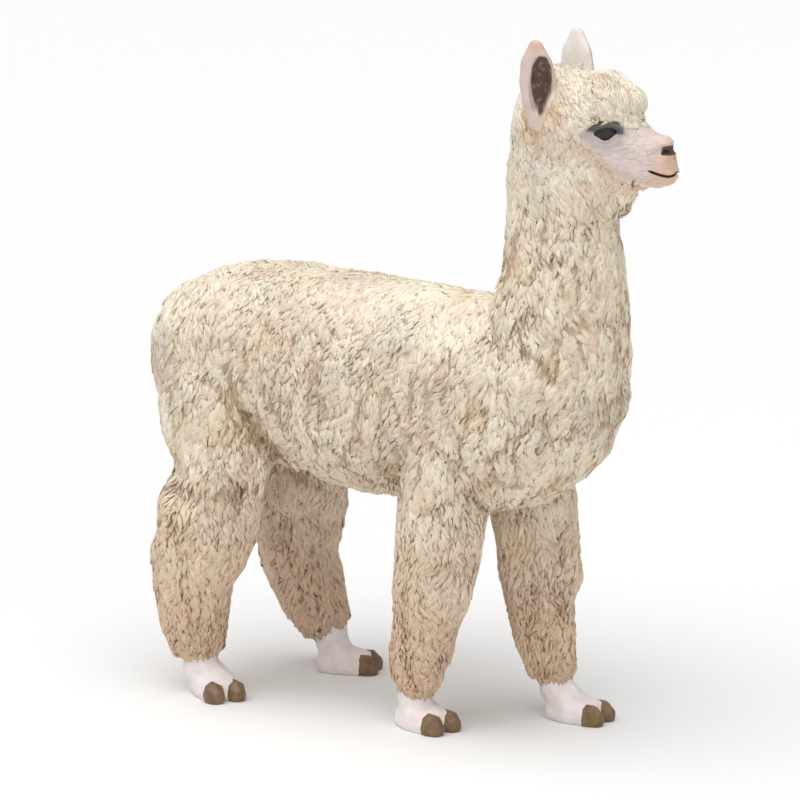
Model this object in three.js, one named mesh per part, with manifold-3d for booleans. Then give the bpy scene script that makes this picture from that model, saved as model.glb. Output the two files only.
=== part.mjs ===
// A hand-painted toy alpaca, moulded in solid PVC: it stands, with a sculpted fleece and bare face,
// ears and feet. Millimetres, +Z up, nose towards +X, the animal's left towards +Y, soles of the feet
// at Z = 0. Every body part is a loft along its own bones. Two slanting cuts part the neck from the
// head and the trunk, and each leg, foot, nail, ear and eye sits in a socket that clears it by the
// same thin gap.
import * as THREE from "three";
import { mergeVertices } from "three/addons/utils/BufferGeometryUtils.js";
import Module from "manifold-3d";

const wasm = await Module();
wasm.setup();

// ---- Driving dimensions ----

const WITHERS = 70.2; // height of the back over the shoulders
const CROUP = 71.2; // height of the back over the hips
const BELLY = 35.2; // height of the belly's lowest point
const TRUNK_SIDE = 16; // half-width of the barrel
const RUMP_X = -43.8; // the hindmost point of the fleece, below the tail
const CHEST_X = 42.2; // the foremost point of the chest fleece
const NECK_X = 32.9; // middle of the upright neck
const NECK_SIDE = 8.2; // half-width of the upright neck
const HEAD_AT = new THREE.Vector3(35, 0.5, 97); // middle of the skull, level with the eyes
const HEAD_YAW = 9; // degrees, turned to the animal's left
const EAR_HEIGHT = { right: 13.9, left: 14.5 }; // from the skull's middle to each ear's tip
const EAR_SIDE = { right: 2.95, left: 3.2 }; // half-width of each ear
const EAR_FACING = 70; // degrees from straight ahead to where an ear's hollow faces
const SHOULDER_Z = 50; // top of a fore leg inside the trunk
const HIP_Z = 57; // top of a hind leg inside the trunk
const CUFF_Z = 6.2; // lower edge of the leg wool
const FOOT_LENGTH = 11;
const FOOT_SIDE = 3.8; // half-width of a foot
const CUT = 0.3; // the gap between two parts

const DOME_RINGS = 2; // rings in the dome that closes an end
const FAR = 200; // half the size of a cutting block
const FULL_TURN = 2 * Math.PI;

// ---- Materials ----

const paint = (name, color, roughness) =>
  new THREE.MeshStandardMaterial({ name, color, roughness, metalness: 0 });
const FLEECE = paint("fleece_paint", 0xdccdb0, 0.75);
const BARE = paint("bare_paint", 0xe2d8d8, 0.6);
const EYE = paint("eye_gloss", 0x2f3133, 0.2);
const NAIL = paint("nail_paint", 0x7a6547, 0.55);

// ---- Shape helpers ----

const V = (x, y, z) => new THREE.Vector3(x, y, z);
const ACROSS = V(0, 1, 0); // the way every ring's half-width is laid off

// One cross-section of a loft. fore and aft are its radii ahead of and behind the spine, and side is its
// half-width. square above 2 flattens its sides.
const station = (at, fore, aft, side, square = 2) => ({ at, fore, aft, side, square });

// A solid skin over rings threaded on the stations' spine, each with its half-width across the animal.
// A spine that runs forwards has its fore side on top. A dome closes each end: headCap and tailCap are
// their lengths. around is the points in a ring and perSpan the rings on each span. grow thickens it
// all, to make a socket.
function loft(stations, { around, perSpan = 1, headCap, tailCap, grow = 0 }) {
  const spine = new THREE.CatmullRomCurve3(stations.map((s) => s.at));
  const grown = (s) => V(s.fore + grow, s.aft + grow, s.side + grow);
  const radii = new THREE.CatmullRomCurve3(stations.map(grown));
  const squares = new THREE.CatmullRomCurve3(stations.map((s) => V(s.square, 0, 0)));
  const spans = (stations.length - 1) * perSpan;
  const rings = [];
  const addRing = (t, scale, shift) => {
    const tangent = spine.getTangent(t);
    const side = ACROSS.clone().addScaledVector(tangent, -ACROSS.dot(tangent)).normalize();
    const front = tangent.clone().cross(side);
    const centre = spine.getPoint(t).addScaledVector(tangent, shift);
    const { x: fore, y: aft, z: half } = radii.getPoint(t).multiplyScalar(scale);
    const power = 2 / squares.getPoint(t).x;
    const ring = [];
    for (let i = 0; i < around; i++) {
      const angle = (FULL_TURN * i) / around;
      const c = Math.cos(angle);
      const s = Math.sin(angle);
      const reach = Math.sign(c) * Math.abs(c) ** power * (c > 0 ? fore : aft);
      const out = Math.sign(s) * Math.abs(s) ** power * half;
      ring.push(centre.clone().addScaledVector(front, reach).addScaledVector(side, out));
    }
    rings.push(ring);
  };
  const addDomeRing = (end, i, length) => {
    const angle = ((i / (DOME_RINGS + 1)) * Math.PI) / 2;
    addRing(end, Math.cos(angle), length * Math.sin(angle));
  };
  for (let i = DOME_RINGS; i > 0; i--) addDomeRing(0, i, -headCap - grow);
  for (let i = 0; i <= spans; i++) addRing(i / spans, 1, 0);
  for (let i = 1; i <= DOME_RINGS; i++) addDomeRing(1, i, tailCap + grow);
  const head = spine.getPoint(0).addScaledVector(spine.getTangent(0), -headCap - grow);
  const tail = spine.getPoint(1).addScaledVector(spine.getTangent(1), tailCap + grow);
  const index = [];
  for (let r = 0; r + 1 < rings.length; r++)
    for (let i = 0; i < around; i++) {
      const j = (i + 1) % around;
      const [a, b, c, d] = [r * around + i, r * around + j, (r + 1) * around + j, (r + 1) * around + i];
      index.push(a, b, c, a, c, d);
    }
  const last = (rings.length - 1) * around;
  const headPole = rings.length * around;
  const tailPole = headPole + 1;
  for (let i = 0; i < around; i++) {
    const j = (i + 1) % around;
    index.push(headPole, j, i, tailPole, last + i, last + j);
  }
  return solid(new THREE.BufferGeometry().setFromPoints([...rings.flat(), head, tail]).setIndex(index));
}

// A three.js geometry as a solid whose faces look outwards.
function solid(geometry) {
  const bare = geometry.clone();
  bare.deleteAttribute("normal");
  bare.deleteAttribute("uv");
  const merged = mergeVertices(bare, 1e-4);
  const made = (triangles) =>
    new wasm.Manifold(
      new wasm.Mesh({ numProp: 3, vertProperties: merged.attributes.position.array, triVerts: triangles }),
    );
  const triangles = new Uint32Array(merged.index.array);
  const first = made(triangles);
  return first.volume() > 0 ? first : made(triangles.slice().reverse());
}

const join = (...solids) => solids.reduce((a, b) => a.add(b));
const cutAway = (whole, ...cutters) => cutters.reduce((a, b) => a.subtract(b), whole);

// Everything above the slanting plane through (x, z), which falls by tilt degrees towards the nose and is
// lowered by drop.
function above(x, z, tilt, drop = 0) {
  const box = new THREE.BoxGeometry(2 * FAR, 2 * FAR, FAR).translate(0, 0, FAR / 2 - drop);
  return solid(box).rotate([0, tilt, 0]).translate([x, 0, z]);
}

const belowFloor = solid(new THREE.BoxGeometry(2 * FAR, 2 * FAR, FAR).translate(0, 0, -FAR / 2));

// A station on an upright spine, for parts that hang down: half is its half-length, and side its half-
// width.
const slice = (x, y, z, half, side, square) => station(V(x, y, z), half, half, side, square);

// ---- Trunk: a deep barrel, higher over the hips, with a rounded rump and a full chest ----

function trunk() {
  const band = (x, top, low, side, square = 2.25) => {
    const middle = (top + low) / 2;
    return station(V(x, 0, middle), top - middle, middle - low, side, square);
  };
  return loft(
    [
      band(RUMP_X + 3.6, CROUP - 5.8, 42.5, TRUNK_SIDE - 4, 2.5),
      band(RUMP_X + 9, CROUP - 2.2, 40.5, TRUNK_SIDE - 0.8, 2.4),
      band(-22, CROUP, 39, TRUNK_SIDE),
      band(-8, CROUP - 0.6, BELLY + 0.8, TRUNK_SIDE),
      band(7, WITHERS - 0.4, BELLY, TRUNK_SIDE - 0.3),
      band(22, WITHERS, BELLY + 0.3, TRUNK_SIDE - 1.4),
      band(31, WITHERS + 1, BELLY + 4, TRUNK_SIDE - 3.4),
      band(CHEST_X - 5.4, WITHERS - 0.6, BELLY + 12.6, TRUNK_SIDE - 6.8),
    ],
    { around: 20, perSpan: 2, headCap: 3.6, tailCap: 4.4 },
  );
}

// ---- Neck: upright, widening into the chest ----

function neck() {
  return loft(
    [
      slice(NECK_X - 0.4, 0.3, 99, 7.2, NECK_SIDE - 0.8),
      slice(NECK_X - 0.2, 0.2, 91, 8.8, NECK_SIDE),
      slice(NECK_X, 0, 82, 9, NECK_SIDE + 0.1),
      slice(NECK_X + 0.5, 0, 74.5, 9.6, NECK_SIDE + 1),
      slice(NECK_X - 0.2, 0, 67, 11.4, NECK_SIDE + 2.9),
      slice(NECK_X - 2.4, 0, 59, 12.6, NECK_SIDE + 4),
      slice(NECK_X - 6, 0, 51, 10.4, NECK_SIDE + 2),
    ],
    { around: 22, headCap: 2, tailCap: 5 },
  );
}

const NECK_TOP = [23, 91, 20]; // x, z and fall of the cut between head and neck
const NECK_BASE = [21.5, 71.5, 25]; // and of the cut between neck and trunk

// ---- Tail: a short flat tuft lying on the rump ----

function tail(grow = 0) {
  return loft(
    [
      slice(RUMP_X + 3, 0, 62.5, 2, 3.4),
      slice(RUMP_X - 0.2, 0, 57.5, 2.3, 4),
      slice(RUMP_X - 0.8, 0, 51.5, 2, 3.4),
      slice(RUMP_X + 0.2, 0, 47, 1.3, 2.2),
    ],
    { around: 12, headCap: 1.5, tailCap: 1.4, grow },
  );
}

// ---- Legs: woolly down to a cuff over the foot ----

// xAt gives the leg's middle at a height, from the joints [height, x] of its pose.
const posed = (joints) => (z) => {
  const upper = joints.findLast(([height], i) => height >= z && i + 1 < joints.length);
  const lower = joints[joints.indexOf(upper) + 1];
  return THREE.MathUtils.mapLinear(z, upper[0], lower[0], upper[1], lower[1]);
};

function foreLeg({ joints, y, side }, grow = 0) {
  const xAt = posed(joints);
  const at = (z, half, outward, flat = 0.86) =>
    slice(xAt(z), THREE.MathUtils.lerp(side * 8.2, y, outward), z, half, half * flat);
  return loft(
    [
      at(SHOULDER_Z, 7, 0, 0.7),
      at(44, 8, 0.1, 0.8),
      at(37, 7.8, 0.3),
      at(30, 7.4, 0.6),
      at(23, 6.8, 1),
      at(18, 5.7, 1),
      at(12, 5.4, 1),
      at(CUFF_Z + 0.8, 4.4, 1),
    ],
    { around: 14, headCap: 4, tailCap: 0.8, grow },
  );
}

function hindLeg({ joints, y, side }, grow = 0) {
  const xAt = posed(joints);
  const at = (z, half, outward, flat = 0.85) =>
    slice(xAt(z), THREE.MathUtils.lerp(side * 9.4, y, outward), z, half, half * flat);
  return loft(
    [
      at(HIP_Z, 9, 0, 0.6),
      at(49, 11, 0, 0.67),
      at(42, 10.3, 0.2, 0.7),
      at(37, 8.8, 0.5, 0.74),
      at(30, 9.3, 0.8, 0.76),
      at(23.5, 8.4, 1, 0.8),
      at(18, 7.1, 1),
      at(12, 6.1, 1),
      at(CUFF_Z + 0.8, 4.7, 1),
    ],
    { around: 14, headCap: 4, tailCap: 0.8, grow },
  );
}

// ---- Feet: a broad wedge with two toes, each ending in a blunt nail ----

// The foot points along yaw with the middle of its sole at footX and y. Its ankle rises into the cuff
// at cuffX.
function foot({ footX, y, yaw, cuffX }, grow = 0) {
  const place = (s) => s.rotate([0, 0, yaw]).translate([footX, y, 0]);
  const back = 1.8; // how far the ankle stands behind the middle of the foot
  const heading = THREE.MathUtils.degToRad(yaw);
  const ankle = loft(
    [
      slice(cuffX, y, CUFF_Z + 1.6, 2.8, 2.7),
      slice(cuffX + 0.2, y, CUFF_Z - 1.5, 2.9, 2.8),
      slice(footX - back * Math.cos(heading), y - back * Math.sin(heading), 2.6, 3, 3),
    ],
    { around: 10, headCap: 0.8, tailCap: 1, grow },
  );
  const half = FOOT_LENGTH / 2;
  const pad = loft(
    [
      station(V(-half + 1.6, 0, 1), 2.8, 2, FOOT_SIDE - 0.9, 2.3),
      station(V(-1, 0, 1.2), 3.4, 2, FOOT_SIDE, 2.4),
      station(V(half - 2.4, 0, 1), 2.4, 2, FOOT_SIDE - 0.2, 2.4),
    ],
    { around: 12, headCap: 1.6, tailCap: 0.8, grow },
  );
  return join(place(pad), ankle);
}

function nail({ footX, y, yaw }, toe, grow = 0) {
  const apart = 1.85; // from the foot's middle line to the nail's
  const half = FOOT_LENGTH / 2;
  return loft(
    [
      station(V(half - 3.1, toe * apart, 1.1), 2.1, 2, 1.5),
      station(V(half - 1.9, toe * apart, 1), 2.2, 2, 1.7),
      station(V(half - 1, toe * apart, 0.8), 1.5, 1.5, 1.3),
    ],
    { around: 8, headCap: 0.4, tailCap: 0.9, grow },
  )
    .rotate([0, 0, yaw])
    .translate([footX, y, 0]);
}

// ---- Head, in its own frame: x along the face, origin at the skull's middle ----

const toHead = (s) => s.rotate([0, 0, HEAD_YAW]).translate(HEAD_AT.toArray());

function head() {
  const band = (x, top, low, side, square = 2) => {
    const middle = (top + low) / 2;
    return station(V(x, 0, middle), top - middle, middle - low, side, square);
  };
  const wool = loft(
    [
      band(-6.2, 5.6, -9, 6.4),
      band(-3.4, 9.2, -9.5, 8),
      band(0.5, 11, -9.5, 8.5),
      band(3.4, 10.7, -7.5, 8),
      band(5.8, 9.3, 0.8, 7.2, 2.2),
      band(8.1, 7.4, 0.9, 6.2, 2.2),
    ],
    { around: 16, headCap: 2.6, tailCap: 1.9 },
  );
  const face = loft(
    [
      band(4, 3.4, -9.2, 7),
      band(7.6, 2.9, -8.9, 5.8),
      band(11, 1.6, -8.7, 4.4, 2.2),
      band(13.6, -0.4, -8.5, 3.8, 2.3),
      band(15.9, -2.3, -8, 3, 2.3),
    ],
    { around: 16, headCap: 2, tailCap: 1.3 },
  );
  const beard = loft(
    [slice(1.5, 0, -5, 7, 7), slice(4.4, 0, -9.2, 7, 5.6), slice(4, 0, -12.2, 4.6, 4.2)],
    { around: 12, headCap: 2, tailCap: 1.2 },
  );
  return toHead(join(wool, face, beard));
}

// A pricked ear: a leaf on a short stalk, hollowed on its front. grow makes its socket.
function ear(name, side, grow = 0) {
  const height = EAR_HEIGHT[name];
  const leaf = (thick, width, low, high, more) =>
    loft(
      [
        slice(0, 0, low, thick * 0.8, width * 0.45),
        slice(0, 0, THREE.MathUtils.lerp(low, high, 0.27), thick, width * 0.86),
        slice(0, 0, THREE.MathUtils.lerp(low, high, 0.55), thick, width),
        slice(0, 0, THREE.MathUtils.lerp(low, high, 0.82), thick * 0.8, width * 0.82),
        slice(0, 0, high, thick * 0.5, width * 0.44),
      ],
      { around: 12, headCap: 0.8, tailCap: 0.9, grow: more },
    );
  const shell = leaf(1.45, EAR_SIDE[name], 0.8, height - 0.9, grow);
  const hollow = leaf(1.3, 1.7, 3.4, height - 3, 0).translate([1.5, 0, 0]);
  const made = grow > 0 ? shell : shell.subtract(hollow);
  const turned = made.rotate([0, 0, side * EAR_FACING]).rotate([side * 3, 0, 0]);
  return toHead(turned.translate([-3.1, side * 7.2, 0]));
}

// An eye: a flattened ball sunk in the side of the face.
function eye(side, grow = 0) {
  const ball = solid(new THREE.SphereGeometry(1, 10, 8)).scale([2.9 + grow, 1.6 + grow, 1.7 + grow]);
  return toHead(ball.rotate([0, 0, side * -22]).translate([6.9, side * 4.75, 0.2]));
}

// ---- Pose: the legs mid-stride, each with its foot on the floor ----

const SIDES = { right: -1, left: 1 };

// y is the line the lower leg stands on, footX and yaw place the sole, and cuffX is the ankle's X at
// the cuff. joints are heights down the leg, each with the leg's X there.
const pose = (side, y, footX, yaw, cuffX, joints) => ({ side, y, footX, yaw, cuffX, joints });
const FORE = {
  right: pose(-1, -8.5, 13.1, -10, 10.9, [[60, 18], [38, 16.6], [23, 14.6], [15, 12], [6, 10.9]]),
  left: pose(1, 10.3, 29.7, 5, 25.2, [[60, 20], [38, 20.8], [23, 21.9], [17, 22.4], [6, 25]]),
};
const HIND_JOINTS = {
  right: [[60, -30], [49, -28.6], [37, -26.2], [20, -30.8], [14, -30.8], [6, -29.2]],
  left: [[60, -29], [49, -28], [37, -26.2], [22, -29.4], [16, -28.6], [6, -22]],
};
const HIND = {
  right: pose(-1, -13.6, -25.9, -28, -29.2, HIND_JOINTS.right),
  left: pose(1, 12.2, -18.5, 26, -22.2, HIND_JOINTS.left),
};

// ---- Assembly ----

const root = new THREE.Group();
root.name = "toy_alpaca";

function addNode(name, made, material) {
  const { numProp, vertProperties, triVerts } = made.getMesh();
  const geometry = new THREE.BufferGeometry()
    .setAttribute("position", new THREE.BufferAttribute(new Float32Array(vertProperties), numProp))
    .setIndex(new THREE.BufferAttribute(triVerts.slice(), 1));
  const mesh = new THREE.Mesh(geometry, material);
  mesh.name = name;
  root.add(mesh);
}

const upright = neck();
const trunkSockets = [tail(CUT)];
const headSockets = [];
for (const [name, side] of Object.entries(SIDES)) {
  const pairs = [
    ["front", FORE[name], foreLeg],
    ["hind", HIND[name], hindLeg],
  ];
  for (const [which, legPose, leg] of pairs) {
    trunkSockets.push(leg(legPose, CUT));
    addNode(`leg_${which}_${name}`, cutAway(leg(legPose), foot(legPose, CUT)), FLEECE);
    const toes = [-1, 1];
    const nailSockets = toes.map((toe) => nail(legPose, toe, CUT));
    addNode(`foot_${which}_${name}`, cutAway(foot(legPose), ...nailSockets, belowFloor), BARE);
    toes.forEach((toe, i) => {
      addNode(`nail_${which}_${name}_${i + 1}`, cutAway(nail(legPose, toe), belowFloor), NAIL);
    });
  }
  addNode(`ear_${name}`, ear(name, side), BARE);
  addNode(`eye_${name}`, eye(side), EYE);
  headSockets.push(ear(name, side, CUT), eye(side, CUT));
}
const skull = join(head(), upright).intersect(above(...NECK_TOP));
addNode("head", cutAway(skull, ...headSockets), FLEECE);
addNode("neck", cutAway(upright.intersect(above(...NECK_BASE)), above(...NECK_TOP, CUT)), FLEECE);
addNode("trunk", cutAway(join(trunk(), upright), above(...NECK_BASE, CUT), ...trunkSockets), FLEECE);
addNode("tail", tail(), FLEECE);

const middle = new THREE.Box3().setFromObject(root).getCenter(V(0, 0, 0));
for (const mesh of root.children) mesh.geometry.translate(-middle.x, -middle.y, 0);

export default root;
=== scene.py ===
from itertools import product

import bmesh
import bpy
import numpy as np
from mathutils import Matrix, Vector, noise
from mathutils.bvhtree import BVHTree


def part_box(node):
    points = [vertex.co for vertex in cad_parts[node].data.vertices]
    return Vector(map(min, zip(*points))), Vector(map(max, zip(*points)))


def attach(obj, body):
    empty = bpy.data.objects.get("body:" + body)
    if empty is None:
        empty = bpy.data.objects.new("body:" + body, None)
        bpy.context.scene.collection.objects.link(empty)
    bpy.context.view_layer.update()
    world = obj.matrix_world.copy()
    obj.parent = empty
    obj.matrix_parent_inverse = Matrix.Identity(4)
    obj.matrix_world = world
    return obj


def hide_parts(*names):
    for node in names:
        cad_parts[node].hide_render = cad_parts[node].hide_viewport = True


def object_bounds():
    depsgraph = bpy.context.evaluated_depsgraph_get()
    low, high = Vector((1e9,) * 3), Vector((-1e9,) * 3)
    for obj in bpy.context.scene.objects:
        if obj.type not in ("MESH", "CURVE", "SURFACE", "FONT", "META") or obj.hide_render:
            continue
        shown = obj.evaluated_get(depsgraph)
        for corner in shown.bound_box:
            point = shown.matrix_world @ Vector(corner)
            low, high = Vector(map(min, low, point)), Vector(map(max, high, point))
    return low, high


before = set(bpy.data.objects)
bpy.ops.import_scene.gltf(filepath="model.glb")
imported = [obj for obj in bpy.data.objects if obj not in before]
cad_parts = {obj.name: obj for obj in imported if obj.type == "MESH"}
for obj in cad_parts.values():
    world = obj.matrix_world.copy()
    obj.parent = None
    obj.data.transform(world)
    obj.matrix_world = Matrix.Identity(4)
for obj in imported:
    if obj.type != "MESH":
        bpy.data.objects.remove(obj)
low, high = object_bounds()
mm = 0.001

# ---- The table it is shown on, with soft light and a long lens ----
# A pale sweep under the toy, lit by a broad sky overhead and by a weak round softbox on the camera's side.
# The lens is long and stands a little above the toy's middle, off its right shoulder.


def new_paint(name, roughness, gloss=0.5):
    """A material, with its nodes, its links and its shader."""
    made = bpy.data.materials.new(name)
    made.use_nodes = True
    shader = made.node_tree.nodes["Principled BSDF"]
    shader.inputs["Roughness"].default_value = roughness
    shader.inputs["Specular IOR Level"].default_value = gloss
    return made, made.node_tree.nodes, made.node_tree.links.new, shader


def placed(name, data, spot, backwards):
    """A light or a camera at a spot, with its back turned the way given."""
    thing = bpy.data.objects.new(name, data)
    thing.location = spot
    thing.rotation_euler = backwards.to_track_quat("Z", "Y").to_euler()
    bpy.context.collection.objects.link(thing)
    return thing


TABLE_WIDTH = 6
TABLE_WHITE = (0.86, 0.86, 0.86, 1)
centre = (low + high) / 2
bpy.ops.object.select_all(action="DESELECT")
bpy.ops.mesh.primitive_plane_add(size=TABLE_WIDTH, location=(centre.x, centre.y, low.z))
table = bpy.context.object
table.name = "table"
bpy.ops.object.transform_apply(location=True, rotation=True, scale=True)
table_paint, inside, wire, shader = new_paint("table_paint", 0.9)
shader.inputs["Base Color"].default_value = TABLE_WHITE
table.data.materials.append(table_paint)

VIEW_TURN = np.radians(37)
VIEW_RISE = np.radians(11)
VIEW_DISTANCE = 620 * mm
aim = Vector((centre.x + 2.97 * mm, centre.y - 4.9 * mm, 52 * mm))
level = np.cos(VIEW_RISE)
away = Vector((np.sin(VIEW_TURN) * level, -np.cos(VIEW_TURN) * level, np.sin(VIEW_RISE)))
lens = bpy.data.cameras.new("lens")
lens.sensor_width = 36
lens.lens = 175.8
lens.clip_start = 0.01
bpy.context.scene.camera = placed("camera", lens, aim + away * VIEW_DISTANCE, away)

sky = bpy.data.lights.new("overhead", "SUN")
sky.angle = np.radians(70)
sky.energy = 2.65
placed("overhead", sky, Vector(), Vector((-0.03, -0.27, 0.85)))
fill = bpy.data.lights.new("camera_fill", "AREA")
fill.shape = "DISK"
fill.size = 0.6
fill.energy = 0.8
fill_spot = centre + Vector((0.75, -0.45, 0.3))
placed("camera_fill", fill, fill_spot, fill_spot - centre)
world = bpy.data.worlds.new("studio")
world.use_nodes = True
world.node_tree.nodes["Background"].inputs["Color"].default_value = (1, 1, 1, 1)
world.node_tree.nodes["Background"].inputs["Strength"].default_value = 0.36
bpy.context.scene.world = world
bpy.context.scene.view_settings.view_transform = "Standard"

# ---- The moulding under the fleece ----
# The toy is a soft PVC casting. One closed skin stands for all of its flesh: the solids are copied, swollen
# just enough to close the cuts between them, fused, smoothed, and drawn back under the fleece by its depth.

FLESH = ["trunk", "neck", "head", "tail"]
for side in ("left", "right"):
    FLESH.append(f"ear_{side}")
    for end in ("front", "hind"):
        FLESH += [f"leg_{end}_{side}", f"foot_{end}_{side}"]
EYES = ["eye_left", "eye_right"]
NAILS = [f"nail_{end}_{side}_{k}" for end in ("front", "hind") for side in ("left", "right") for k in (1, 2)]
SWELL = 0.19 * mm
VOXEL = 0.27 * mm
COAT_DEPTH = 0.95


def solid_copy(name):
    """A copy of one solid to work on, its loose triangles joined up."""
    shape = bmesh.new()
    shape.from_mesh(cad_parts[name].data)
    bmesh.ops.remove_doubles(shape, verts=shape.verts, dist=0.002 * mm)
    shape.normal_update()
    return shape


def select_only(thing):
    bpy.ops.object.select_all(action="DESELECT")
    bpy.context.view_layer.objects.active = thing
    thing.select_set(True)


def fused(shape, name, voxel):
    """An object of the shape, with all its shells melted into one closed skin."""
    mesh = bpy.data.meshes.new(name)
    shape.to_mesh(mesh)
    shape.free()
    thing = bpy.data.objects.new(name, mesh)
    bpy.context.collection.objects.link(thing)
    select_only(thing)
    melt = thing.modifiers.new("fuse", "REMESH")
    melt.mode = "VOXEL"
    melt.voxel_size = voxel
    bpy.ops.object.modifier_apply(modifier="fuse")
    return thing


clay = bmesh.new()
corners = []
tri_node = []
triangles = []
for name in FLESH + EYES + NAILS:
    part = solid_copy(name)
    base = len(corners)
    corners += [v.co.copy() for v in part.verts]
    for face in part.faces:
        triangles.append([base + v.index for v in face.verts])
        tri_node.append(name)
    grown = [v.co + v.normal * SWELL * min(v.calc_shell_factor(), 1.5) for v in part.verts]
    copies = [clay.verts.new(co) for co in grown]
    for face in part.faces:
        clay.faces.new([copies[v.index] for v in face.verts])
    part.free()
solids = BVHTree.FromPolygons(corners, triangles)
skin = fused(clay, "skin", VOXEL)


def read(layer, label, width, kind=float):
    """One measure of every point, edge or corner of a mesh, a row to each."""
    rows = np.empty(len(layer) * width, dtype=kind)
    layer.foreach_get(label, rows)
    return rows.reshape(-1, width)


def read_points(mesh):
    return read(mesh.vertices, "co", 3) / mm


def write_points(mesh, points):
    mesh.vertices.foreach_set("co", (points * mm).ravel())
    mesh.update()


def read_edges(mesh):
    return read(mesh.edges, "vertices", 2, np.int64)


def read_normals(mesh):
    return read(mesh.vertices, "normal", 3)


def neighbour_mean(values, edges):
    count = np.maximum(np.bincount(edges.ravel(), minlength=len(values)), 1)
    mean = np.empty_like(values)
    for column in range(values.shape[1]):
        line = values[:, column]
        mean[:, column] = np.bincount(edges[:, 0], line[edges[:, 1]], len(values))
        mean[:, column] += np.bincount(edges[:, 1], line[edges[:, 0]], len(values))
    return mean / count[:, None]


def relaxed(points, edges, rounds):
    """Smoothed by turns inwards and outwards, so that the form doesn't shrink."""
    for turn in range(rounds):
        for pull in (0.5, -0.52):
            points = points + pull * (neighbour_mean(points, edges) - points)
    return points


def smoothstep(low_edge, high_edge, value):
    t = np.clip((value - low_edge) / (high_edge - low_edge), 0, 1)
    return t * t * (3 - 2 * t)


def bump(value, centre, width):
    """A smooth rise of height one, zero beyond its width on either side."""
    t = np.clip(abs(value - centre) / width, 0, 1)
    return (1 - t * t) ** 2


def middle_of(name):
    a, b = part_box(name)
    return np.array((a + b) / 2) / mm


# The head's own frame: x forwards, y to its left, z up, found from the two eyes.
eye_left, eye_right = middle_of("eye_left"), middle_of("eye_right")
HEAD_Y = (eye_left - eye_right) / np.linalg.norm(eye_left - eye_right)
HEAD_X = np.cross(HEAD_Y, (0, 0, 1))
HEAD_AXES = np.array([HEAD_X, HEAD_Y, (0, 0, 1)])
EYE_AHEAD = 6.9
EYE_UP = 0.2
HEAD_ORIGIN = (eye_left + eye_right) / 2 - HEAD_X * EYE_AHEAD - np.array((0, 0, EYE_UP))


def to_head(points):
    return (points - HEAD_ORIGIN) @ HEAD_AXES.T


def from_head(points):
    return points @ HEAD_AXES + HEAD_ORIGIN


# The bare face, outlined from the brow's lower edge back past the eye and down the cheek to the throat. The
# same outline serves both sides of the head.
BROW_EDGE = [(30, 2.2), (11.4, 1.9), (10.2, 1.5), (8.5, 2.1), (6.7, 2.15), (5.7, 1.75), (4.3, 0.8)]
CHEEK_EDGE = [(3.2, -0.3), (4.7, -1.25), (6.0, -2.6), (6.8, -4.15), (7.65, -5.45), (8.8, -6.5)]
THROAT_EDGE = [(10.0, -7.15), (11.6, -7.4), (12.6, -7.9), (13.2, -9.0), (13.4, -30), (30, -30)]
FACE_EDGE = np.array(BROW_EDGE + CHEEK_EDGE + THROAT_EDGE)
FAR_FROM_FACE = -30.0


def depth_inside(outline, x, z):
    """Distance to a closed outline in the plane, above zero inside it."""
    nearest = np.full(len(x), 1e9)
    within = np.zeros(len(x), dtype=bool)
    for (x0, z0), (x1, z1) in zip(outline, np.roll(outline, -1, axis=0)):
        along = ((x - x0) * (x1 - x0) + (z - z0) * (z1 - z0)) / ((x1 - x0) ** 2 + (z1 - z0) ** 2)
        along = np.clip(along, 0, 1)
        nearest = np.minimum(nearest, np.hypot(x - x0 - along * (x1 - x0), z - z0 - along * (z1 - z0)))
        if z0 != z1:
            within ^= ((z0 > z) != (z1 > z)) & (x < x0 + (z - z0) / (z1 - z0) * (x1 - x0))
    return np.where(within, nearest, -nearest)


# Each point of the fused skin near the feet and ears takes the name of the solid it came from, which tells
# wool from bare skin there. The seams of the fused solids are smoothed away.
edges = read_edges(skin.data)
points = relaxed(read_points(skin.data), edges, 36)
node_of = np.array([""] * len(points), dtype="U20")
near_feet = points[:, 2] < 10
near_ears = (points[:, 2] > 95) & (to_head(points)[:, 0] < 2)
for index in np.flatnonzero(near_feet | near_ears):
    node_of[index] = tri_node[solids.find_nearest(Vector(points[index] * mm))[2]]
on_foot = np.char.startswith(node_of, "foot") | np.char.startswith(node_of, "nail")
on_ear = np.char.startswith(node_of, "ear")

points = np.where(on_ear[:, None], relaxed(points, edges, 50), points)
head_points = to_head(points)
face_depth = depth_inside(FACE_EDGE, head_points[:, 0], head_points[:, 2])
face_depth = np.where(points[:, 2] > 80, face_depth, FAR_FROM_FACE)
bare = np.maximum(smoothstep(-0.3, 0.3, face_depth), (on_foot | on_ear).astype(float))
for turn in range(4):
    bare = neighbour_mean(bare[:, None], edges)[:, 0]
for turn in range(24):
    calm = (points[:, 2] > 84) & (bare < 0.5)
    points = np.where(calm[:, None], points + 0.5 * (neighbour_mean(points, edges) - points), points)
write_points(skin.data, points)
normals = read_normals(skin.data)
shorn = 1 - 0.35 * smoothstep(84, 90, points[:, 2])
points = points - normals * (SWELL / mm + COAT_DEPTH * shorn * (1 - bare))[:, None]
points = relaxed(points, edges, 4)

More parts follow.
